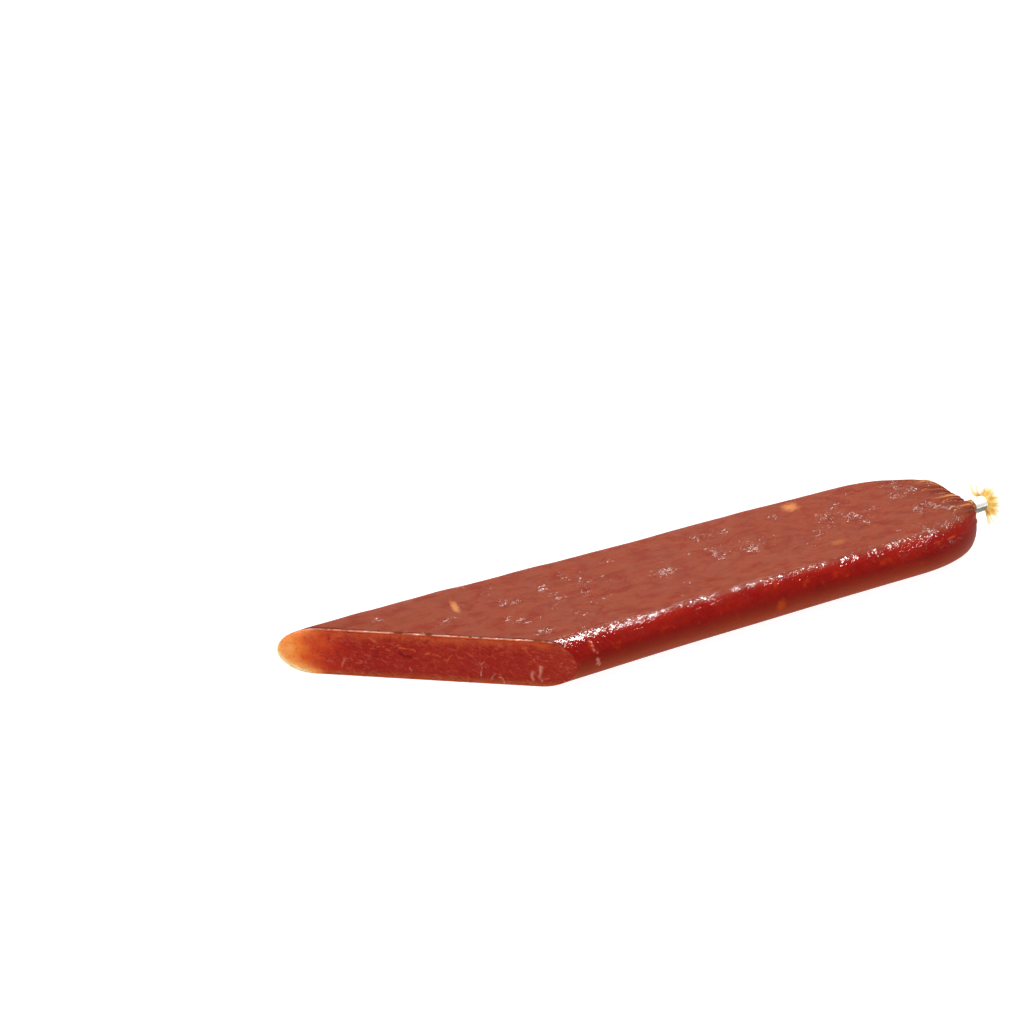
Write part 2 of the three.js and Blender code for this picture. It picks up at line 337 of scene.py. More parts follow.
class Nodes:
    """Builds the nodes of a material or a sky. An input is given a plain value, or a socket to link."""

    def __init__(self, owner):
        self.owner = owner
        owner.use_nodes = True
        self.tree = owner.node_tree
        self.tree.nodes.clear()

    def put(self, socket, value):
        if isinstance(value, bpy.types.NodeSocket):
            self.tree.links.new(value, socket)
        else:
            socket.default_value = value

    def node(self, kind, settings=None, **inputs):
        made = self.tree.nodes.new("ShaderNode" + kind)
        for name, value in (settings or {}).items():
            setattr(made, name, value)
        for name, value in inputs.items():
            self.put(made.inputs[name.replace("_", " ")], value)
        return made

    def math(self, operation, first, second=0.0):
        made = self.node("Math", {"operation": operation})
        self.put(made.inputs[0], first)
        self.put(made.inputs[1], second)
        return made.outputs[0]

    def vector_math(self, operation, first, second=(0.0, 0.0, 0.0)):
        made = self.node("VectorMath", {"operation": operation})
        self.put(made.inputs[0], first)
        self.put(made.inputs[1], second)
        return made

    def mix(self, factor, first, second):
        made = self.node("Mix", {"data_type": "RGBA"})
        self.put(made.inputs[0], factor)
        self.put(made.inputs[6], colour(first))
        self.put(made.inputs[7], colour(second))
        return made.outputs[2]

    def place(self):
        return self.node("TexCoord").outputs["Object"]

    def field(self, name, output="Fac"):
        return self.node("Attribute", {"attribute_name": name}).outputs[output]

    def stretched(self, vector, scale, turn=0.0):
        """The vector turned about Z, then scaled by each number of scale."""
        turned = self.node("Mapping", Vector=vector, Rotation=(0, 0, turn)).outputs[0]
        return self.node("Mapping", Vector=turned, Scale=scale).outputs[0]

    def noise(self, vector, size, detail=2.0, roughness=0.5, distortion=0.0):
        """Noise from 0 to 1 around 0.5, its lumps about size wide."""
        made = self.node("TexNoise", Vector=vector, Scale=1 / size, Detail=detail,
                         Roughness=roughness, Distortion=distortion)
        return made.outputs["Fac"]

    def grain(self, vector, stretch, degrees, *noise):
        """Noise drawn out along one direction, its lumps 1 / stretch times as long as wide."""
        return self.noise(self.stretched(vector, (stretch, 1.0, 1.0), math.radians(degrees)), *noise)

    def remap(self, value, low, high, to_low=0.0, to_high=1.0):
        made = self.node("MapRange", {"interpolation_type": "SMOOTHSTEP"}, Value=value, From_Min=low,
                         From_Max=high, To_Min=to_low, To_Max=to_high)
        return made.outputs[0]

    def ramp(self, value, stops):
        made = self.node("ValToRGB", Fac=value)
        while len(made.color_ramp.elements) < len(stops):
            made.color_ramp.elements.new(1.0)
        for element, (place, rgb) in zip(made.color_ramp.elements, stops):
            element.position = place
            element.color = colour(rgb)
        return made.outputs[0]

    def bumps(self, *layers):
        """Bumps on each other, each a height from 0 to 1 and its size in millimetres."""
        below = {}
        for height, size in layers:
            made = self.node("Bump", Height=height, Distance=size * MM, Strength=1.0, **below)
            below = {"Normal": made.outputs[0]}
        return made.outputs[0]

    def finish(self, **inputs):
        shader = self.node("BsdfPrincipled", **inputs)
        self.node("OutputMaterial", Surface=shader.outputs[0])
        return self.owner


def colour(value):
    """A linear colour from red, green and blue as they show on a screen, from 0 to 255."""
    if isinstance(value, bpy.types.NodeSocket):
        return value
    shown = [channel / 255 for channel in value]
    linear = [c / 12.92 if c <= 0.04045 else ((c + 0.055) / 1.055) ** 2.4 for c in shown]
    return (*linear, 1.0)


# Colours, as they show on a screen under an even light
MEAT_DEEP = (120, 15, 13)
MEAT_BRIGHT = (134, 24, 15)
MEAT_BROWN = (112, 24, 14)
MEAT_ORANGE = (176, 62, 20)
# Painted reflection of the pale floor on the lower half of the sides
FLOOR_REFLECTION_TINT = (142, 58, 30)
# Painted shade in the hollows of the gathers and beside the folds on the nose
FOLD_SHADE = (66, 10, 6)
# The dull bloom of the flat faces, its paler pinkish tone partly painted sheen
BLOOM_SHEEN = (115, 60, 41)
BLOOM_SHEEN_DARK = (105, 44, 30)
FAT = (176, 112, 66)
FAT_GREENISH = (136, 78, 42)
DRY_SKIN = (222, 160, 92)
# Pale tissue and sinews, and also a painted highlight along the chamfer at the cut's edge
TISSUE_AND_EDGE_HIGHLIGHT = (222, 150, 132)
FIBRE = (210, 88, 42)
CUT_TOP = (204, 92, 44)
CUT_FOOT = (178, 90, 42)
CUT_DARK = (120, 16, 11)
CUT_HAZE = (206, 74, 34)
# Painted shade in the small holes of the cut
PIT_SHADE = (96, 14, 10)
# Painted glow of light through the thin tip of the cut
TIP_GLOW_ORANGE = (246, 158, 80)
TIP_GLOW_PALE = (255, 226, 168)
# Painted shade on the clip's lower side, everywhere but the lap's outer layer
CLIP_LOWER_SHADE = (122, 120, 115)
CLIP_OUTER = (250, 248, 242)
CLIP_SCRATCH = (170, 168, 162)
# Painted shade in the tail's creases
TAIL_CREASE_SHADE = (208, 140, 48)
TAIL_EDGE = (255, 243, 214)
FLOOR_TONES = ((122, 122, 121), (128, 128, 127))

# Colours of the meat from the thin tip to the near side, the first stops paler and more orange as painted
# glow of light through the thin tip, and of the tail's dark to light patches
CUT_STOPS = (
    (0.0, (255, 206, 120)),
    (0.08, (242, 136, 54)),
    (0.14, (216, 80, 28)),
    (0.2, (180, 42, 20)),
    (0.27, (162, 31, 17)),
    (0.34, (156, 28, 17)),
    (0.55, (162, 36, 20)),
    (0.7, (158, 32, 19)),
    (0.85, (160, 34, 19)),
    (1.0, (160, 44, 22)),
)
TAIL_STOPS = ((0.3, (230, 168, 74)), (0.5, (248, 204, 112)), (0.72, (255, 232, 176)))

# Fat under the casing: along, across, height above the table, length, width, turn and colour
FAT_PATCHES = (
    (-181.2, 9.7, 15.0, 7.6, 2.3, 78, FAT),
    (-57.5, 14.0, 15.0, 6.2, 5.2, 25, FAT),
    (-58.0, -12.2, 15.0, 5.6, 3.2, 5, FAT_GREENISH),
    (-88.3, -26.0, 6.8, 3.4, 4.4, 0, MEAT_ORANGE),
    (-22.1, -23.0, 12.0, 4.4, 0.6, 12, MEAT_ORANGE),
)


def fat_mask(paint, place, patch):
    """How far a point is inside one patch of fat, from 0 to 1, with an uneven edge."""
    x, y, height, length, width, turn, _ = patch
    centre = (ORIGIN.x + x * MM, ORIGIN.y + y * MM, ORIGIN.z + (height - MID) * MM)
    moved = paint.vector_math("SUBTRACT", place, centre).outputs["Vector"]
    on_top = height > THICKNESS * 0.9
    long_scale, wide_scale, deep_scale = 2 / length / MM, 2 / width / MM, 0.2 / MM
    if on_top:
        scaled = paint.stretched(moved, (long_scale, wide_scale, deep_scale), -math.radians(turn))
    else:
        scaled = paint.stretched(moved, (long_scale, deep_scale, wide_scale))
    reach = paint.vector_math("LENGTH", scaled).outputs["Value"]
    ragged = paint.math("ADD", reach, paint.noise(place, 1.4 * MM, 3.0))
    return paint.remap(ragged, 1.9, 0.75, 0.0, 0.8)


# How much the bloom, with its painted sheen, covers the flat faces
BLOOM_SHEEN_COVER = 0.8

# Heights of the wrinkles along the casing, the strokes across the rim, the dots, the crinkles and the
# fine grain
CASING_BUMPS = (0.14, 0.17, 0.3, 0.3, 0.02)


def casing_finish():
    """Satin casing over translucent deep red meat."""
    paint = Nodes(bpy.data.materials.new("casing"))
    place = paint.place()
    skin = paint.field("skin", "Vector")
    dry = paint.field("dry")
    clouds = paint.noise(place, 11 * MM, 4.0, 0.6)
    grain = paint.grain(skin, 0.22, 4, 1.6, 4.0, 0.65, 0.6)
    red = paint.mix(paint.remap(clouds, 0.3, 0.7), MEAT_DEEP, MEAT_BRIGHT)
    red = paint.mix(paint.remap(grain, 0.5, 0.85, 0.0, 0.5), red, MEAT_BROWN)
    spots = paint.noise(place, 3.2 * MM, 3.0, 0.5, 0.4)
    red = paint.mix(paint.remap(spots, 0.58, 0.78, 0.0, 0.45), red, MEAT_ORANGE)
    streaks = paint.grain(skin, 0.22, 4, 2.6, 5.0, 0.7, 0.4)
    red = paint.mix(paint.remap(streaks, 0.5, 0.66, 0.0, 0.55), red, MEAT_BROWN)
    # The nose is painted darker as shade.
    red = paint.mix(paint.field("nose"), red, MEAT_BROWN)
    # The lower half of the sides is painted browner as reflection of the pale floor.
    red = paint.mix(paint.field("lower"), red, FLOOR_REFLECTION_TINT)
    # The flat top and bottom: a dull dry bloom, its paler pinkish colour partly painted sheen.
    mottle = paint.grain(skin, 0.6, 0, 4.0, 5.0, 0.65, 0.5)
    bloom = paint.mix(paint.remap(mottle, 0.42, 0.68), BLOOM_SHEEN, BLOOM_SHEEN_DARK)
    red = paint.mix(paint.math("MULTIPLY", paint.field("pressed"), BLOOM_SHEEN_COVER), red, bloom)
    for patch in FAT_PATCHES:
        red = paint.mix(fat_mask(paint, place, patch), red, patch[-1])
    # Pale sinews under the casing, and a painted highlight in dashes along the chamfer at the cut's edge
    red = paint.mix(paint.field("sinew"), red, TISSUE_AND_EDGE_HIGHLIGHT)
    # Painted shade in the hollows of the gathers and beside the folds on the nose
    red = paint.mix(paint.field("valley"), red, FOLD_SHADE)
    skin_colour = paint.mix(dry, red, DRY_SKIN)

    wrinkles = paint.grain(skin, 0.16, 7, 0.95, 3.0, 0.6, 0.8)
    rising = paint.grain(skin, 0.3, -54, 0.82, 1.0)
    falling = paint.grain(skin, 0.3, 42, 0.92, 1.0)
    rim = paint.field("rim")
    strokes = paint.math("MULTIPLY", paint.math("ADD", rising, falling), rim)
    fine = paint.noise(skin, 0.5, 2.0, 0.6)
    cells = paint.node("TexVoronoi", Vector=skin, Scale=0.55)
    dots = paint.remap(paint.math("ADD", cells.outputs["Distance"], fine), 0.85, 0.4)
    crumbly = paint.field("crumbly")
    dots = paint.math("MULTIPLY", dots, crumbly)
    crinkles = paint.grain(skin, 0.45, 12, 0.95, 2.0, 0.6, 1.2)
    glints = paint.math("ADD", crinkles, paint.math("MULTIPLY", crumbly, 0.26))
    glints = paint.remap(glints, 0.74, 0.81)
    crinkles = paint.math("MULTIPLY", crinkles, crumbly)
    bump = paint.bumps(*zip((wrinkles, strokes, dots, crinkles, fine), CASING_BUMPS))

    islands = paint.grain(skin, 0.55, 0, 3.2, 3.0, 0.55)
    broken = paint.remap(islands, 0.46, 0.56, 0.04, 1.0)
    broken = paint.math("MAXIMUM", broken, paint.field("whole"))
    hatch = paint.remap(paint.math("MAXIMUM", rising, falling), 0.5, 0.58, 0.06, 1.0)
    hatch = paint.math("MAXIMUM", hatch, paint.math("SUBTRACT", 1.0, rim))
    gloss = paint.math("MULTIPLY", paint.field("gloss"), hatch)
    gloss = paint.math("MAXIMUM", paint.math("MULTIPLY", gloss, broken), glints)
    return paint.finish(
        Base_Color=skin_colour,
        Roughness=paint.remap(clouds, 0.3, 0.7, 0.42, 0.52),
        Normal=bump,
        Coat_Normal=bump,
        Specular_IOR_Level=0.02,
        Subsurface_Weight=0.35,
        Subsurface_Radius=(1.0, 0.25, 0.12),
        Subsurface_Scale=2.2 * MM,
        Coat_Weight=gloss,
        Coat_Roughness=0.05,
        Coat_IOR=1.6,
    )


CUT_HALF = 46.0  # half the length of the cut


def cut_finish():
    """The cut meat: deep red inside, with fibres and pale tissue, clear orange at the thin tip as painted
    glow of light through it, and holes painted dark as shade.
    """
    paint = Nodes(bpy.data.materials.new("cut_meat"))
    cut = paint.field("cut", "Vector")
    across, height, _ = paint.node("SeparateXYZ", Vector=cut).outputs
    wobble = paint.math("MULTIPLY", paint.math("SUBTRACT", paint.noise(cut, 7.0, 3.0, 0.6), 0.5), 16.0)
    across = paint.math("ADD", across, wobble)
    share = paint.node("MapRange", Value=across, From_Min=-CUT_HALF, From_Max=CUT_HALF).outputs[0]
    meat = paint.ramp(share, CUT_STOPS)
    ragged = paint.math("MULTIPLY", paint.noise(cut, 3.0, 4.0, 0.65), 7.0)
    high = paint.remap(paint.math("ADD", height, ragged), 14.4, 19.0, 0.0, 0.75)
    meat = paint.mix(high, meat, CUT_TOP)
    low = paint.remap(paint.math("ADD", height, paint.noise(cut, 3.0, 3.0)), 3.0, 0.6, 0.0, 0.75)
    meat = paint.mix(low, meat, CUT_FOOT)
    shade = paint.noise(cut, 1.6, 4.0, 0.65, 0.6)
    meat = paint.mix(paint.remap(shade, 0.52, 0.72, 0.0, 0.6), meat, CUT_DARK)
    # Painted glow of light through the thin tip: orange, then pale at the very edge
    thin = paint.field("thin")
    meat = paint.mix(paint.remap(thin, 0.02, 0.35), meat, TIP_GLOW_ORANGE)
    meat = paint.mix(paint.remap(thin, 0.3, 0.62), meat, TIP_GLOW_PALE)
    haze = paint.grain(cut, 0.45, 20, 0.9, 4.0, 0.65, 1.2)
    meat = paint.mix(paint.remap(haze, 0.5, 0.66, 0.0, 0.42), meat, CUT_HAZE)
    # The holes are painted dark as shade in them.
    for name, tint in (("fibre", FIBRE), ("tissue", TISSUE_AND_EDGE_HIGHLIGHT), ("pit", PIT_SHADE)):
        meat = paint.mix(paint.field(name), meat, tint)
    bump = paint.bumps((paint.noise(cut, 0.9, 4.0, 0.65, 0.5), 0.35), (paint.noise(cut, 0.35), 0.04))
    return paint.finish(
        Base_Color=meat,
        Roughness=0.4,
        Normal=bump,
        Coat_Normal=bump,
        Specular_IOR_Level=0.05,
        Subsurface_Weight=0.5,
        Subsurface_Radius=(1.0, 0.3, 0.12),
        Subsurface_Scale=2.5 * MM,
        Coat_Weight=paint.remap(haze, 0.57, 0.65, 0.05, 0.8),
        Coat_Roughness=0.1,
    )


# What shows on the cut, each a bowed strand from one end to the other, as distance along the cut
# from its middle and height above the table at both ends, then bow, half width and strength
FIBRES = (
    (-11.3, 9.6, -9.4, 8.2, 0.2, 0.22, 0.8),
    (-8.2, 10.6, -2.6, 9.5, 0.3, 0.3, 1.0),
    (1.0, 9.1, 6.5, 6.8, 0.5, 0.25, 1.0),
    (6.5, 6.8, 8.0, 9.0, -0.2, 0.2, 0.8),
    (-0.6, 8.0, 1.8, 9.4, 0.5, 0.2, 0.6),
    (-21.4, 11.5, -19.4, 11.2, 0.2, 0.2, 0.7),
    (-16.3, 12.7, -14.2, 11.9, 0.0, 0.45, 0.8),
    (-13.5, 10.4, -12.1, 10.6, 0.0, 0.35, 0.9),
    (28.9, 12.2, 31.2, 10.1, 0.3, 0.25, 0.7),
    (31.9, 8.8, 33.8, 6.8, -0.2, 0.22, 0.6),
    (39.4, 7.0, 41.0, 8.9, 0.2, 0.25, 0.6),
    (11.0, 11.0, 14.5, 9.8, -0.4, 0.2, 0.4),
    (20.0, 9.5, 24.0, 10.4, 0.5, 0.2, 0.35),
    (-30.0, 9.0, -27.0, 10.4, 0.3, 0.2, 0.3),
)
TISSUES = (
    (16.7, 0.3, 16.5, 5.2, 0.1, 0.2, 0.9),
    (16.5, 5.2, 17.6, 7.3, 0.3, 0.14, 0.5),
    (21.6, 2.4, 23.4, 0.3, 0.2, 0.22, 0.7),
    (19.4, 2.2, 21.4, 3.3, 0.2, 0.35, 0.35),
    (31.2, 4.8, 31.6, 2.6, 0.2, 0.5, 0.5),
    (33.9, 6.6, 33.7, 3.4, 0.1, 0.4, 0.65),
    (33.6, 2.8, 35.4, 0.5, 0.2, 0.2, 0.7),
    (-24.4, 3.4, -23.6, 5.0, 0.2, 0.4, 0.3),
    (-4.9, 4.0, -4.1, 2.9, 0.1, 0.22, 0.3),
    (-38.0, 5.0, -37.2, 4.2, 0.0, 0.2, 0.3),
)
# Small holes in the cut, painted dark as shade in them
PITS = (
    (-7.2, 8.9, -6.0, 7.4, 0.3, 0.3, 0.5),
    (-5.3, 8.0, -3.6, 7.6, -0.3, 0.3, 0.55),
    (-0.5, 6.9, 0.9, 6.0, 0.2, 0.22, 0.35),
    (4.0, 8.9, 5.2, 8.3, 0.0, 0.2, 0.3),
)
STRAND_SAMPLES = 12
STRAND_DRIFT = 0.55


def flat_place(first, second):
    """Two distances as a place in a plane, for a field or for noise."""
    return np.stack(np.broadcast_arrays(first, second, 0.0), -1)


def strands(across, height, rows, seed):
    """How much of a point is covered by a kind of strand, from 0 to 1."""
    place = flat_place(across, height)
    drift = np.stack([noise(place, 1.6, seed + k) for k in (0, 1)], -1)
    place = place[..., :2] + STRAND_DRIFT * drift
    cover = np.zeros(across.shape)
    t = np.linspace(0, 1, STRAND_SAMPLES)[:, None]
    for x0, z0, x1, z1, bow, half_width, strength in rows:
        start, end = np.array([x0, z0]), np.array([x1, z1])
        side = np.array([start[1] - end[1], end[0] - start[0]]) / np.linalg.norm(end - start)
        route = start + (end - start) * t + side * bow * 4 * t * (1 - t)
        gap = np.linalg.norm(place[..., None, :] - route, axis=-1).min(-1)
        cover = np.maximum(cover, strength * smoothstep(1.5 * half_width, 0.35 * half_width, gap))
    return cover


# Mesh steps
SKIN_STEPS = (56, 112, 64, 36)
EDGE_STEPS = (96, 220, 96, 220)
COLLAR_RINGS = 22
COLLAR_RING_CURVE = 1.6
NOSE_RINGS = 92
NOSE_RING_CURVE = 2.0
BODY_RINGS = 196
CUT_ROWS = 46
CUT_MATERIAL = 1

# The casing's edge at the cut: how far behind the cut and how far inside the skin each ring lies. The
# first five rings are casing, the last two of them its chamfer, and the others are meat.
EDGE_PROFILE = (
    (1.1, 0.0), (0.72, 0.0), (0.6, 0.02), (0.32, 0.19), (0.05, 0.35),
    (0.0, 0.42), (0.05, 0.52), (0.07, 0.66))
CASING_RINGS = 5
CHAMFER_RINGS = (3, 4)
# How pale the chamfer's dashes are painted, as a highlight along the cut's edge
CHAMFER_HIGHLIGHT = 0.8
EDGE_UNEVEN = 0.1
EDGE_BELOW = 0.12  # size of the profile away from the top, as a share
CUT_FLARE = 0.35
CUT_FLARE_REACH = 4.0
CUT_NORMAL = np.array([math.sin(CUT_ANGLE), math.cos(CUT_ANGLE), 0.0])
# How much the nose is darkened, as painted shade
NOSE_SHADE = 0.75
FOLD_HEIGHT = 0.3
FOLD_SHIFT = 0.85  # from a fold's crest to the hollow beside it


def outward(rings):
    """The outward direction at each point of a closed tube of rings."""
    around = np.roll(rings, -1, axis=1) - np.roll(rings, 1, axis=1)
    along = np.gradient(rings, axis=0)
    normal = np.cross(around, along)
    return normal / np.maximum(np.linalg.norm(normal, axis=-1, keepdims=True), 1e-9)


def skin_relief(rings, rows, distance):
    """Height of the casing's lumps and wrinkles. distance is how far behind the cut a ring lies."""
    lumps = 0.11 * noise(rings, (10, 7, 7), 11) + 0.05 * noise(rings, (4, 2.6, 2.6), 12)
    x, y, z = np.moveaxis(rings, -1, 0)
    place = np.stack([x * 0.97 + y * 0.24, y - x * 0.05, z], -1)
    where = smoothstep(-0.3, 0.7, noise(rings, (26, 9, 9), 13))
    wrinkles = 0.055 * where * noise(place, (8, 1.0, 1.2), 14) + 0.03 * noise(place, (5, 1.9, 1.9), 15)
    resting = smoothstep(-0.2, -0.9, rows[:, 3])
    return (lumps + wrinkles) * (1 - 0.92 * resting) * smoothstep(0, 1.2, distance)


def cut_distance(points):
    """How far behind the plane of the cut each point lies."""
    return (points[..., 0] + LENGTH) * math.sin(CUT_ANGLE) + points[..., 1] * math.cos(CUT_ANGLE)


def cut_place(points):
    """Distance along the cut from its middle, and height above the table."""
    across = (points[..., 0] + LENGTH) * math.cos(CUT_ANGLE) - points[..., 1] * math.sin(CUT_ANGLE)
    return flat_place(across, points[..., 2] + MID)


def skin_rings(rows):
    """The rings of the casing from the neck to just behind the cut."""
    collar = COLLAR_LENGTH * (1 - (np.arange(COLLAR_RINGS) / COLLAR_RINGS) ** COLLAR_RING_CURVE)
    neck = neck_rings(rows, np.append(NECK_END, collar)[:, None])
    nose_share = (np.arange(NOSE_RINGS) + 0.2) / (NOSE_RINGS - 0.8)
    nose = stick_rings(rows, -SHEAR_START * nose_share[:, None] ** NOSE_RING_CURVE, 0)
    body_share = np.arange(1, BODY_RINGS + 1) / (BODY_RINGS + 1)
    body = stick_rings(rows, -SHEAR_START, body_share[:, None])
    return np.concatenate([neck, nose, body])


def flared(points, rows):
    """The near side swells a little at the cut, where the knife pressed it."""
    push = CUT_FLARE * np.exp(-np.maximum(cut_distance(points), 0) / CUT_FLARE_REACH)
    points[..., 1] -= push * np.maximum(-rows[:, 2], 0) * smoothstep(0.7, -0.5, rows[:, 3])
    return points


def rim_field(rows, rings):
    """Where the casing turns from the top into the near side, which the light crosses in strokes."""
    tilt = np.maximum(-rows[:, 2], 0)
    near = smoothstep(0.05, 0.35, tilt) * smoothstep(-0.05, 0.3, rows[:, 3])
    return near * smoothstep(-2, -30, rings[..., 0])


def bloom_sheen_field(rows, rings):
    """The flat top and bottom, which the press dried to a dull bloom; its paler, pinker colour is partly
    painted sheen of soft light.
    """
    return smoothstep(0.75, 0.985, np.abs(rows[:, 3])) * smoothstep(0.0, -7.0, rings[..., 0])


def gloss_field(rows, rings):
    """How much the casing shines: most along the near rim towards the cut, and least on the sides."""
    x = rings[..., 0]
    rim = smoothstep(0.3, 0.7, rows[:, 3]) * smoothstep(0.12, 0.35, -rows[:, 2])
    return rim * (0.8 + 0.2 * smoothstep(-50, -130, x)) * smoothstep(-8, -30, x)


def whole_field(rings):
    """Where the shine along the rim is unbroken."""
    return smoothstep(-118, -150, rings[..., 0])


# Where the casing of the top is most crumbly, as along and across
CRUMBS = (
    (-141, 4), (-143, -2), (-153, 7), (-152, 0), (-171, -5), (-165, -16), (-205, 14), (-118, -3),
    (-114, -2), (-95, -1), (-84, -3), (-45, -1), (-52, 3), (-66, 11), (-95, 12), (-85, 11), (-17, -18),
    (-22, -20), (-29, -20), (-35, -23), (-41, -24), (-15, 5), (-17, -6), (-14, -10), (-23, -7),
)
CRUMB_REACH = 2.6


def crumbly_field(rings):
    """Where the casing has dried into small bright bumps: a band along the middle and the nose."""
    x, y = rings[..., 0], rings[..., 1]
    band = np.exp(-(((y - 1.5 - 3 * np.sin(x / 31)) / 5.5) ** 2))
    patchy = smoothstep(-0.1, 0.6, noise(rings, (11, 5, 5), 31))
    nose = smoothstep(-70, -12, x) * smoothstep(-0.3, 0.4, noise(rings, (7, 5, 5), 32))
    rare = smoothstep(0.35, 0.8, noise(rings, (6, 4, 4), 33))
    clusters = sum(
        np.exp(-((x - along) ** 2 + (y - across) ** 2) / CRUMB_REACH**2) for along, across in CRUMBS)
    upper = smoothstep(0.0, MID * 0.6, rings[..., 2])
    return upper * np.clip(0.5 * band * patchy + 0.5 * nose + 0.5 * rare + clusters, 0, 1)


# Narrow folds that stand up on top of the nose, as along and across at both ends, then bow, half width
# and strength
GOLD_FOLDS = (
    (-13.2, 3.1, -4.2, 1.2, 0.1, 0.24, 0.85),
    (-11.2, -0.6, -3.0, -1.4, 0.1, 0.24, 0.7),
    (-13.0, -6.8, -3.4, -5.0, 0.1, 0.26, 0.9),
    (-11.8, -6.6, -5.2, -8.8, 0.0, 0.22, 0.7),
    (-14.6, -14.2, -6.0, -11.4, 0.2, 0.24, 0.8),
    (-9.0, 6.4, -3.4, 3.4, 0.1, 0.3, 0.5),
    (-12.5, 10.5, -6.0, 6.9, 0.1, 0.3, 0.4),
    (-8.0, -3.2, -2.0, -2.8, 0.0, 0.3, 0.7),
    (-7.0, 1.2, -1.5, -0.6, 0.0, 0.28, 0.6),
    (-6.0, -8.0, -1.5, -5.4, 0.1, 0.28, 0.6),
)

# Pale strands under the casing of the near side, as along and height at both ends, and then the same
SINEWS = (
    (-155.8, 13.2, -155.0, 11.6, 0.1, 0.22, 0.6),
    (-155.2, 10.9, -154.4, 9.4, 0.1, 0.22, 0.5),
    (-154.4, 8.0, -153.4, 5.4, 0.2, 0.3, 0.6),
    (-153.2, 7.4, -154.2, 5.9, 0.1, 0.2, 0.5),
)


def gold_folds(rings, shift=0.0):
    """Cover by the folds that stand up on the nose. A shift gives that by the hollows beside them."""
    return strands(rings[..., 0], rings[..., 1] - shift, GOLD_FOLDS, 81)


def fold_shade_field(rings):
    """How dark the painted shade is in the hollows between the gathers and beside the folds on the nose."""
    large, fine = pleats(rings[..., 0], rings[..., 1] - NECK_OFFSET, rings[..., 2])
    hollow = (large / PLEAT_DEPTH) ** 1.3 + 0.8 * (fine / FINE_PLEAT_DEPTH) ** 1.5
    beside = smoothstep(0.0, 2.0, rings[..., 2]) * gold_folds(rings, FOLD_SHIFT)
    return 0.85 * np.clip(1.4 * hollow + beside, 0, 1) * smoothstep(1.6, 0.0, rings[..., 0])


def floor_reflection_field(rows):
    """The lower half of the sides, painted browner as reflection of the pale floor."""
    return 0.85 * smoothstep(0.3, -0.5, rows[:, 3]) * smoothstep(0.05, 0.4, np.abs(rows[:, 2]))


def dry_field(rings):
    """Where the casing is empty or stands up in a gather, and has dried to gold."""
    x, y, z = np.moveaxis(rings, -1, 0)
    turn = turn_of(y - NECK_OFFSET * np.exp(np.minimum(x, 0) / NECK_OFFSET_REACH), z)
    ridge = 1 - valleys(turn, PLEATS, PLEAT_DRIFTS)
    fine_ridge = 1 - valleys(turn, FINE_PLEATS, FINE_PLEAT_DRIFTS)
    from_neck = np.sqrt(np.maximum(-x, 0) ** 2 + ((y - NECK_OFFSET) * 0.8) ** 2 + z**2)
    crest = smoothstep(0.9, 1.0, ridge) * smoothstep(0.1, 0.7, fine_ridge) * smoothstep(18, 6, from_neck)
    lip = smoothstep(1.8, 3.2, x) * (0.5 + 0.5 * ridge)
    upper = smoothstep(0.0, 2.0, z)
    return np.clip(0.7 * crest + lip + 0.55 * upper * gold_folds(rings), 0, 1)


def sinew_field(rows, rings):
    side = smoothstep(0.1, 0.5, -rows[:, 2]) * (rings[..., 0] < -SHEAR_START)
    return side * strands(rings[..., 0], rings[..., 2] + MID, SINEWS, 83)


def thinness(points):
    """How thin the wedge of meat is behind a point of the cut: 1 at the far side's edge, 0 inland. The
    cut's colour uses it for painted glow of light through the thin wedge.
    """
    reach = (points[..., 1] - (WIDTH / 2 - FAR_ROUND)) / FAR_ROUND
    rise = points[..., 2] / MID
    from_middle = np.sqrt(np.maximum(reach, 0) ** 2 + rise**2)
    outer = np.where(reach > -0.4, np.clip(from_middle, 0, 1) ** 3, 0) * smoothstep(-0.4, 0.5, reach)
    return outer * (0.45 + 0.55 * smoothstep(0.9, -0.6, rise))


def add_skin(shell):
    """Adds the casing up to just behind the cut, and returns its last ring and the way round it."""
    rows = section(*SKIN_STEPS)
    rings = skin_rings(rows)
    distance = cut_distance(rings)
    rings = flared(rings, rows)
    stand = FOLD_HEIGHT * gold_folds(rings)
    sink = FOLD_HEIGHT * gold_folds(rings, FOLD_SHIFT)
    folds = (stand - sink) * smoothstep(0.0, 0.5, rows[:, 3])
    away = smoothstep(1.0, -3.0, rings[..., 0])
    relief = (skin_relief(rings, rows, distance) + folds) * away
    rings = rings + outward(rings) * relief[..., None]
    rings[..., 2] = np.maximum(rings[..., 2], -MID)

    around, total = girth(rows)
    numbers = shell.add(
        rings,
        skin=flat_place(rings[..., 0], around),
        rim=rim_field(rows, rings),
        crumbly=crumbly_field(rings),
        dry=dry_field(rings),
        pressed=bloom_sheen_field(rows, rings),
        gloss=gloss_field(rows, rings),
        whole=whole_field(rings),
        sinew=sinew_field(rows, rings),
        lower=floor_reflection_field(rows),
        # The nose darkened as painted shade
        nose=NOSE_SHADE * smoothstep(-34, -10, rings[..., 0]),
        valley=fold_shade_field(rings),
    )
    shell.tube(numbers)
    shell.cap(numbers[0][::-1], on_neck(NECK_END, 0.0, 0.0))
    return numbers[-1], around, total


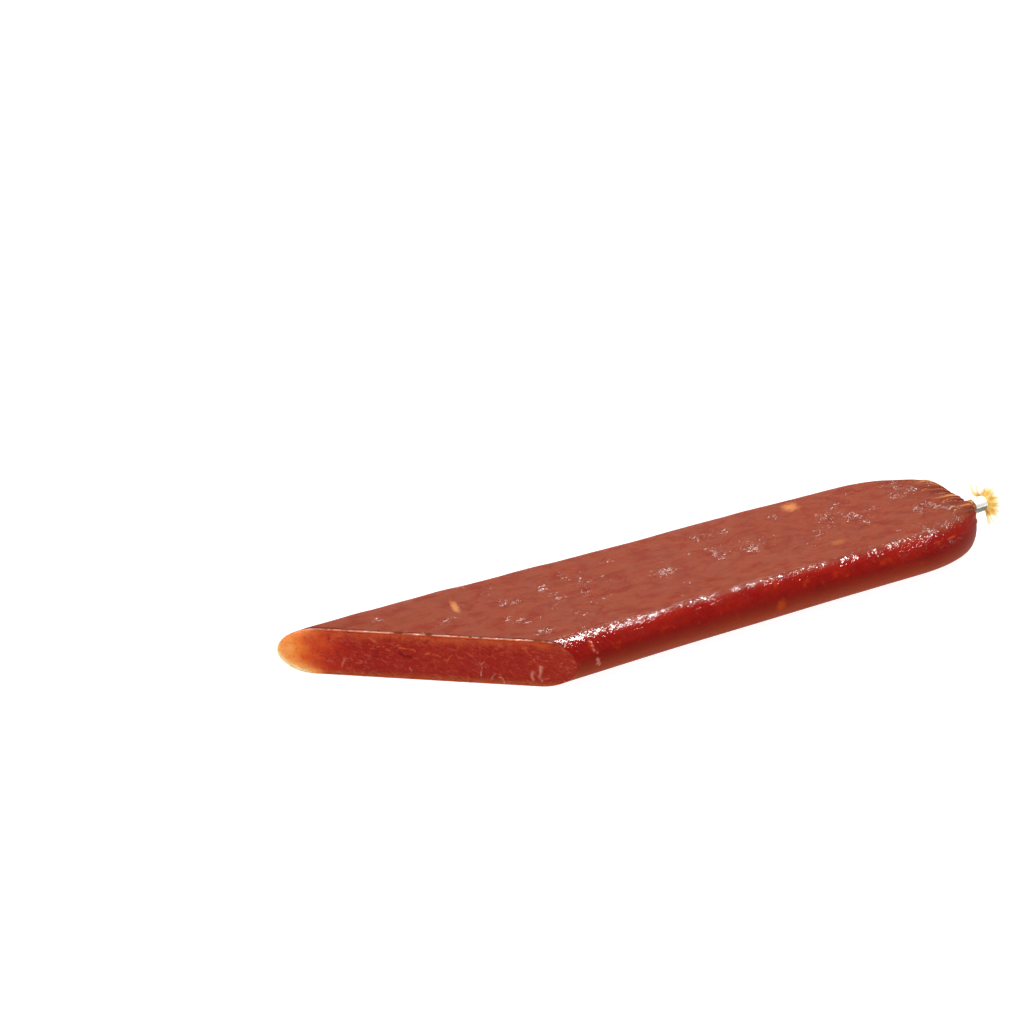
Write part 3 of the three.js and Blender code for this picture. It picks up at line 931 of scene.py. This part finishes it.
def add_edge(shell, skin_end, skin_around, skin_total):
    """Adds the casing's edge and the first of the meat inside it, and returns the last ring's points
    and numbers."""
    rows = section(*EDGE_STEPS)
    at_cut = flared(stick_rings(rows, -SHEAR_START, 1), rows)
    inward = -np.column_stack([np.zeros(len(rows)), rows[:, 2:]])
    top = smoothstep(0.6, 0.97, rows[:, 3])
    size = (EDGE_BELOW + (1 - EDGE_BELOW) * top)[:, None]
    uneven = EDGE_UNEVEN * noise(at_cut, 1.6, 41) + EDGE_UNEVEN * noise(at_cut, 0.6, 42)
    edge = np.stack([
        at_cut + inward * inset * size + np.array([behind, 0, 0]) * size
        + np.outer(uneven, -CUT_NORMAL) * smoothstep(0.6, 0.0, behind)
        for behind, inset in EDGE_PROFILE
    ])
    edge[..., 2] = np.maximum(edge[..., 2], -MID)

    around, total = girth(rows)
    dashes = smoothstep(-0.8, 0.3, noise(at_cut, 0.9, 43) + noise(at_cut, 3.7, 44)) * top
    chamfer = np.isin(np.arange(len(EDGE_PROFILE)), CHAMFER_RINGS)[:, None] * dashes
    numbers = shell.add(
        edge,
        skin=flat_place(edge[..., 0], around * skin_total / total),
        rim=rim_field(rows, edge),
        pressed=bloom_sheen_field(rows, edge),
        gloss=np.maximum(gloss_field(rows, edge), chamfer),
        whole=whole_field(edge),
        # The chamfer's dashes painted pale as a highlight
        sinew=CHAMFER_HIGHLIGHT * chamfer,
        lower=floor_reflection_field(rows),
        cut=cut_place(edge),
        thin=thinness(edge),
    )
    shell.zip_rings(skin_end, skin_around / skin_total, numbers[0], around / total)
    shell.tube(numbers[:CASING_RINGS])
    shell.tube(numbers[CASING_RINGS - 1:], CUT_MATERIAL)
    return edge[-1], numbers[-1]


def add_cut(shell, edge, edge_numbers):
    """Fills the casing's edge with a grid of meat, in rows from its lower half to its upper half."""
    count = len(edge)
    far_tip = EDGE_STEPS[0] // 2
    near_tip = (far_tip + count // 2) % count
    columns = np.arange(1, count // 2)
    upper = (far_tip + columns) % count
    lower = (far_tip - columns) % count
    share = (np.arange(CUT_ROWS + 1) / CUT_ROWS)[:, None, None]
    face = edge[lower] * (1 - share) + edge[upper] * share

    place = cut_place(face)
    across, height = place[..., 0], place[..., 1]
    fibre = strands(across, height, FIBRES, 51)
    fibre = fibre * smoothstep(-0.7, 0.3, noise(place, (0.9, 0.6, 1), 57))
    tissue = strands(across, height, TISSUES, 53)
    tissue = tissue * smoothstep(-0.9, 0.2, noise(place, (0.7, 1.1, 1), 58))
    pit = strands(across, height, PITS, 55)
    relief = 0.1 * noise(place, (4, 2, 1), 61) + 0.06 * noise(place, (1.3, 0.8, 1), 62)
    relief = relief + 0.22 * fibre + 0.12 * tissue - 0.6 * pit
    rim_fade = np.sin(np.pi * np.arange(CUT_ROWS + 1) / CUT_ROWS)[:, None] ** 0.5
    face = face - CUT_NORMAL * (relief * rim_fade)[..., None]

    # Among these fields are the painted glow of light through the thin tip and the painted shade in the
    # holes.
    fields = {"cut": place, "fibre": fibre, "tissue": tissue, "pit": pit, "thin": thinness(face)}
    middle = shell.add(face[1:-1], **{name: values[1:-1] for name, values in fields.items()})
    grid = np.concatenate([edge_numbers[lower][None], middle, edge_numbers[upper][None]])
    corners = np.stack([grid[:-1, :-1], grid[1:, :-1], grid[1:, 1:], grid[:-1, 1:]], -1)
    shell.add_faces(corners.reshape(-1, 4), CUT_MATERIAL)
    far_tips = np.full(CUT_ROWS, edge_numbers[far_tip])
    near_tips = np.full(CUT_ROWS, edge_numbers[near_tip])
    shell.add_faces(np.stack([grid[:-1, 0], far_tips, grid[1:, 0]], -1), CUT_MATERIAL)
    shell.add_faces(np.stack([grid[:-1, -1], grid[1:, -1], near_tips], -1), CUT_MATERIAL)


def make_stick():
    shell = Shell()
    skin_end, around, total = add_skin(shell)
    edge, edge_numbers = add_edge(shell, skin_end, around, total)
    add_cut(shell, edge, edge_numbers)
    return shell.build("sausage_casing_and_cut", [casing_finish(), cut_finish()])


# The clip
CLIP_STRIP = 0.4
CLIP_GAP = 0.35
CLIP_LAP = math.radians(125)
CLIP_LAP_GAP = 0.06
CLIP_STEP_TURN = 0.8
CLIP_START = math.radians(129)
CLIP_CORNER = 0.12
CLIP_CROWN = 0.1
CLIP_TURN_STEPS = 160
CRIMPS = 2
CRIMP_TURN = math.radians(10)
CRIMP_SPREAD = 0.3
CRIMP_DEPTH = 0.35
CLIP_CORNER_STEPS = 5
CLIP_FLAT_STEPS = 10


def clip_profile():
    """The strip's rounded section as distance along the stick and height above its inner face."""
    half_long, half_thick = CLIP_LENGTH / 2, CLIP_STRIP / 2
    long_reach = half_long - CLIP_CORNER
    points = []
    for sx, sy, start in ((1, 1, 0), (-1, 1, 90), (-1, -1, 180), (1, -1, 270)):
        for i in range(CLIP_CORNER_STEPS + 1):
            a = math.radians(start + 90 * i / CLIP_CORNER_STEPS)
            points.append((sx * long_reach + CLIP_CORNER * math.cos(a),
                           sy * (half_thick - CLIP_CORNER) + CLIP_CORNER * math.sin(a)))
        if sx == sy:
            for i in range(1, CLIP_FLAT_STEPS):
                t = 1 - 2 * i / CLIP_FLAT_STEPS
                points.append((sx * t * long_reach, sy * half_thick))
    profile = np.array(points)
    crown = np.where(profile[:, 1] > 0, CLIP_CROWN * (1 - (profile[:, 0] / half_long) ** 2), 0)
    return profile[:, 0] + half_long, profile[:, 1] + half_thick - CLIP_CROWN + crown


def clip_finish():
    """Bright aluminium strip, brushed round the neck and a little scratched. All of it but the outer layer
    of the lap is painted grey as shade on its lower side.
    """
    paint = Nodes(bpy.data.materials.new("clip_metal"))
    place = paint.place()
    brushed = paint.noise(paint.stretched(place, (1 / 0.12, 0.6, 0.6)), 1.0 * MM, 3.0)
    scratches = paint.noise(place, 0.5 * MM, 3.0, 0.7, 2.0)
    lapped = paint.field("lapped")
    # All but the lap's outer layer is painted grey as shade.
    metal = paint.mix(lapped, CLIP_LOWER_SHADE, CLIP_OUTER)
    metal = paint.mix(paint.remap(scratches, 0.5, 0.75, 0.0, 0.4), metal, CLIP_SCRATCH)
    return paint.finish(
        Base_Color=metal,
        Metallic=0.6,
        Roughness=paint.remap(scratches, 0.3, 0.7, 0.36, 0.5),
        Normal=paint.bumps((brushed, 0.01)),
    )


def make_clip():
    along, out = clip_profile()
    turn = (2 * math.pi + CLIP_LAP) * np.arange(CLIP_TURN_STEPS + 1) / CLIP_TURN_STEPS
    lapping = smoothstep(2 * math.pi - CLIP_STEP_TURN, 2 * math.pi, turn)
    inner = NECK_RADIUS + CLIP_GAP + lapping * (CLIP_STRIP + CLIP_LAP_GAP)
    a = (CLIP_START + turn)[:, None]
    pinch = np.exp(-((np.mod(a - CRIMP_TURN + math.pi, 2 * math.pi) - math.pi) / CRIMP_SPREAD) ** 2)
    teeth = 0.5 - 0.5 * np.cos(2 * math.pi * CRIMPS * along / CLIP_LENGTH)
    radius = inner[:, None] + out + CRIMP_DEPTH * pinch * teeth
    points = on_neck(NECK_OUT + along, radius * np.sin(a), -radius * np.cos(a))
    # 1 on the lap's outer layer, which stays bright; the rest takes the painted shade
    outer_layer = smoothstep(2 * math.pi - 0.1, 2 * math.pi, turn)
    shell = Shell()
    numbers = shell.add(points, lapped=outer_layer[:, None])
    shell.tube(numbers)
    shell.cap(numbers[0][::-1], points[0].mean(0), lapped=outer_layer[0])
    shell.cap(numbers[-1], points[-1].mean(0), lapped=outer_layer[-1])
    return shell.build("crimped_clip", [clip_finish()])


# The tail: a pleated film that opens like a fan, and loose shreds
TAIL_GAP = 0.3
TAIL_START = 0.25
TAIL_REACH = 2.7
TAIL_RADIUS = 5.0
TAIL_FOLDS = 9
FOLD_DEPTH = 0.42
FINE_FOLDS = 31
FINE_FOLD_DEPTH = 0.13
TAIL_STEPS = 720
TAIL_RINGS = 24
TAIL_FILM = 0.1

# The shreds: four points that steer each one's bow, as distance beyond the clip, across and up from the
# neck's axis, then its width at the root and at the end
SHREDS = (
    ((0.8, 1.3, 1.3), (-0.5, 3.4, 2.6), (-2.2, 2.4, 1.6), (-2.0, 4.7, 6.4), 0.8, 1.35),
    ((0.7, 1.1, 1.4), (-0.3, 2.2, 3.0), (-1.2, 2.2, 2.8), (-1.0, 2.8, 6.2), 0.5, 0.9),
    ((0.6, -1.0, -1.6), (0.7, -1.6, -3.2), (0.3, -3.2, -4.8), (0.5, -3.8, -6.4), 0.8, 1.3),
    ((0.7, -1.4, -1.4), (0.9, -2.4, -2.6), (0.8, -4.2, -4.6), (1.0, -5.4, -5.3), 0.4, 0.55),
    ((0.8, -1.7, -0.8), (1.2, -3.6, -1.4), (1.4, -5.4, -2.6), (1.5, -6.9, -3.1), 0.5, 0.8),
)
SHRED_STEPS = 40
SHRED_SIDES = 14
SHRED_FILM = 0.05
SHRED_FACING = (-0.58, -0.68, 0.45)


def fold_waves(turn):
    """The large and the fine folds of the tail, from -1 to 1."""
    large = np.sin(TAIL_FOLDS * turn + np.sin(2 * turn))
    return large, np.sin(FINE_FOLDS * turn + 2 * np.sin(3 * turn))


def tail_point(turn, out, inset):
    """A point of the ruffled film. out is 0 at the clip and 1 at its ragged edge."""
    large, fine = fold_waves(turn)
    radius = NECK_RADIUS + (TAIL_RADIUS - NECK_RADIUS) * out - inset / 2
    along = CLIP_END + TAIL_START + (TAIL_REACH + FOLD_DEPTH * large + FINE_FOLD_DEPTH * fine) * out + inset
    return on_neck(along, radius * np.cos(turn), radius * np.sin(turn))


def add_shred(shell, corners, start_width, end_width):
    """Adds one thin curved strip, closed all round."""
    t = np.linspace(0, 1, SHRED_STEPS)[:, None]
    weights = np.hstack([(1 - t) ** 3, 3 * t * (1 - t) ** 2, 3 * t * t * (1 - t), t**3])
    route = weights @ np.array(corners)
    tangent = np.gradient(route, axis=0)
    tangent /= np.linalg.norm(tangent, axis=1, keepdims=True)
    across = np.cross(tangent, SHRED_FACING)
    across /= np.linalg.norm(across, axis=1, keepdims=True)
    facing = np.cross(across, tangent)
    width = start_width + (end_width - start_width) * t
    uneven = 0.25 * noise(route, (0.8, 0.8, 0.8), 91)[:, None]
    width = width * (1 + uneven) * (0.15 + 0.85 * smoothstep(1.0, 0.8, t))
    angle = 2 * math.pi * np.arange(SHRED_SIDES) / SHRED_SIDES
    sideways = 0.5 * width * np.cos(angle)
    outwards = SHRED_FILM * np.sin(angle) + 0.16 * width * np.cos(2 * angle)
    ring = route[:, None] + across[:, None] * sideways[..., None] + facing[:, None] * outwards[..., None]
    points = on_neck(CLIP_END + ring[..., 0], ring[..., 1], ring[..., 2])
    # The shreds' roots are painted darker as shade.
    numbers = shell.add(points, edge=0.5 + 0.5 * t, crease=0.5 * (1 - t))
    shell.tube(numbers)
    shell.cap(numbers[0], points[0].mean(0), edge=0.5, crease=0.5)
    shell.cap(numbers[-1][::-1], points[-1].mean(0), edge=1.0)


def tail_finish():
    """Dry casing: a thin, golden, half clear film with paler folds, and painted shade in its creases and at
    the shreds' roots.
    """
    paint = Nodes(bpy.data.materials.new("dry_casing"))
    place = paint.place()
    folds = paint.noise(place, 1.3 * MM, 3.0, 0.6, 0.6)
    gold = paint.ramp(folds, TAIL_STOPS)
    # Painted shade in the creases and at the shreds' roots
    gold = paint.mix(paint.math("MULTIPLY", paint.field("crease"), 0.6), gold, TAIL_CREASE_SHADE)
    edge = paint.field("edge")
    gold = paint.mix(paint.remap(edge, 0.55, 1.0, 0.0, 0.85), gold, TAIL_EDGE)
    fine = paint.noise(place, 0.3 * MM, 3.0)
    return paint.finish(
        Base_Color=gold,
        Roughness=0.4,
        Normal=paint.bumps((fine, 0.04)),
        Transmission_Weight=paint.remap(edge, 0.4, 1.0, 0.3, 0.85),
        IOR=1.15,
        Subsurface_Weight=0.4,
        Subsurface_Radius=(1.0, 0.8, 0.4),
        Subsurface_Scale=0.8 * MM,
    )


def make_tail():
    turn = 2 * math.pi * np.arange(TAIL_STEPS) / TAIL_STEPS
    ragged = 1 + 0.09 * noise(flat_place(turn * 9, 0.0), 1.0, 71)
    ragged = ragged - 0.14 * smoothstep(0.3, 0.9, noise(flat_place(turn * 22, 0.0), 1.0, 72))
    outs = np.linspace(0.02, 1, TAIL_RINGS)[:, None]
    outer = tail_point(turn, outs * ragged, 0)
    inner = tail_point(turn, outs * ragged, TAIL_FILM)
    root = NECK_END + TAIL_GAP
    start = on_neck(root, NECK_RADIUS * np.cos(turn), NECK_RADIUS * np.sin(turn))[None]
    rings = np.concatenate([inner, outer[::-1], start])
    way = np.concatenate([outs, outs[::-1], [[0.0]]])
    large, fine = fold_waves(turn)
    # Where the film is painted darker as shade in its creases
    hollow = 0.6 * (0.5 + 0.5 * large) + 0.4 * (0.5 + 0.5 * fine)

    shell = Shell()
    numbers = shell.add(rings, edge=way, crease=hollow**2 * np.sqrt(way))
    shell.tube(numbers)
    shell.cap(numbers[0][::-1], on_neck(CLIP_END + 0.4, 0.0, 0.0))
    shell.cap(numbers[-1], on_neck(root, 0.0, 0.0))
    for *corners, start_width, end_width in SHREDS:
        add_shred(shell, corners, start_width, end_width)
    return shell.build("casing_tail_film", [tail_finish()])


# The floor's width in metres, and how much it glows, so that it shows nearly white
FLOOR_SIZE = 24.0
FLOOR_GLOW = 0.95


def make_floor():
    bpy.ops.mesh.primitive_plane_add(size=FLOOR_SIZE, location=(0, 0, ORIGIN.z - MID * MM))
    floor = bpy.context.object
    floor.name = "floor"
    paint = Nodes(bpy.data.materials.new("pale_floor"))
    place = paint.place()
    tone = paint.remap(paint.noise(place, 0.4, 2.0), 0.3, 0.7)
    floor.data.materials.append(paint.finish(
        Base_Color=paint.mix(tone, *FLOOR_TONES),
        Roughness=0.7,
        Specular_IOR_Level=0.2,
        Emission_Color=(1, 1, 1, 1),
        Emission_Strength=FLOOR_GLOW,
    ))


# The camera, in millimetres from the middle of the end face's foot, and in degrees
CAMERA_PLACE = (-473.1, -533.5, 359.2)
CAMERA_AZIMUTH = -29.81
CAMERA_PITCH = 26.9
CAMERA_LENS = 84.375
SENSOR_WIDTH = 36.0


def make_camera():
    camera = bpy.data.objects.new("camera", bpy.data.cameras.new("camera"))
    camera.data.lens = CAMERA_LENS
    camera.data.sensor_width = SENSOR_WIDTH
    camera.data.clip_start = 0.01
    camera.location = ORIGIN + Vector(CAMERA_PLACE) * MM - Vector((0, 0, MID * MM))
    camera.rotation_euler = (math.radians(90 - CAMERA_PITCH), 0, math.radians(CAMERA_AZIMUTH))
    scene.collection.objects.link(camera)
    scene.camera = camera


# The lights: place, length and width in metres, and watts. The first shines along the near rim, the
# second on the cut's edge, the third fills the cut from the front, and the last, low behind, makes the
# small glints on top.
LAMPS = (
    ("right_box", (0.78, -0.03, 1.6), 0.66, 0.32, 42.0),
    ("upper_box", (-0.3, 0.03, 1.6), 1.0, 0.34, 20.0),
    ("front_box", (-1.3, -1.4, 0.8), 0.6, 0.6, 7.0),
    ("back_box", (1.15, 1.95, 1.2), 1.1, 0.6, 15.0),
)

# The sky is bright low behind, as seen by the camera, and dark above
SKY_BRIGHT = 0.3
SKY_DARK = 0.06
SKY_DIP = -0.6
SKY_COLOUR = (1.0, 0.96, 0.9, 1.0)


def make_lights():
    for name, place, length, width, watts in LAMPS:
        light = bpy.data.lights.new(name, "AREA")
        light.shape = "RECTANGLE"
        light.size = length
        light.size_y = width
        light.energy = watts
        lamp = bpy.data.objects.new(name, light)
        lamp.location = place
        lamp.rotation_euler = (-Vector(place)).to_track_quat("-Z", "Y").to_euler()
        scene.collection.objects.link(lamp)


def make_sky():
    world = bpy.data.worlds.new("sky")
    paint = Nodes(world)
    direction = paint.node("TexCoord").outputs["Generated"]
    turn = math.radians(CAMERA_AZIMUTH)
    facing = paint.vector_math("DOT_PRODUCT", direction, (-math.sin(turn), math.cos(turn), SKY_DIP))
    shade = paint.remap(facing.outputs["Value"], 0.1, 0.6, SKY_DARK, SKY_BRIGHT)
    background = paint.node("Background", Color=SKY_COLOUR, Strength=shade)
    paint.node("OutputWorld", Surface=background.outputs[0])
    scene.world = world
    scene.view_settings.view_transform = "Standard"


make_camera()
make_lights()
make_sky()
make_floor()
for made, node, slot_name in (
    (make_stick(), "sausage", "cured_meat"),
    (make_clip(), "clip", "clip_metal"),
    (make_tail(), "casing_tail", "dry_casing"),
):
    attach(made, "root")
    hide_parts(node)
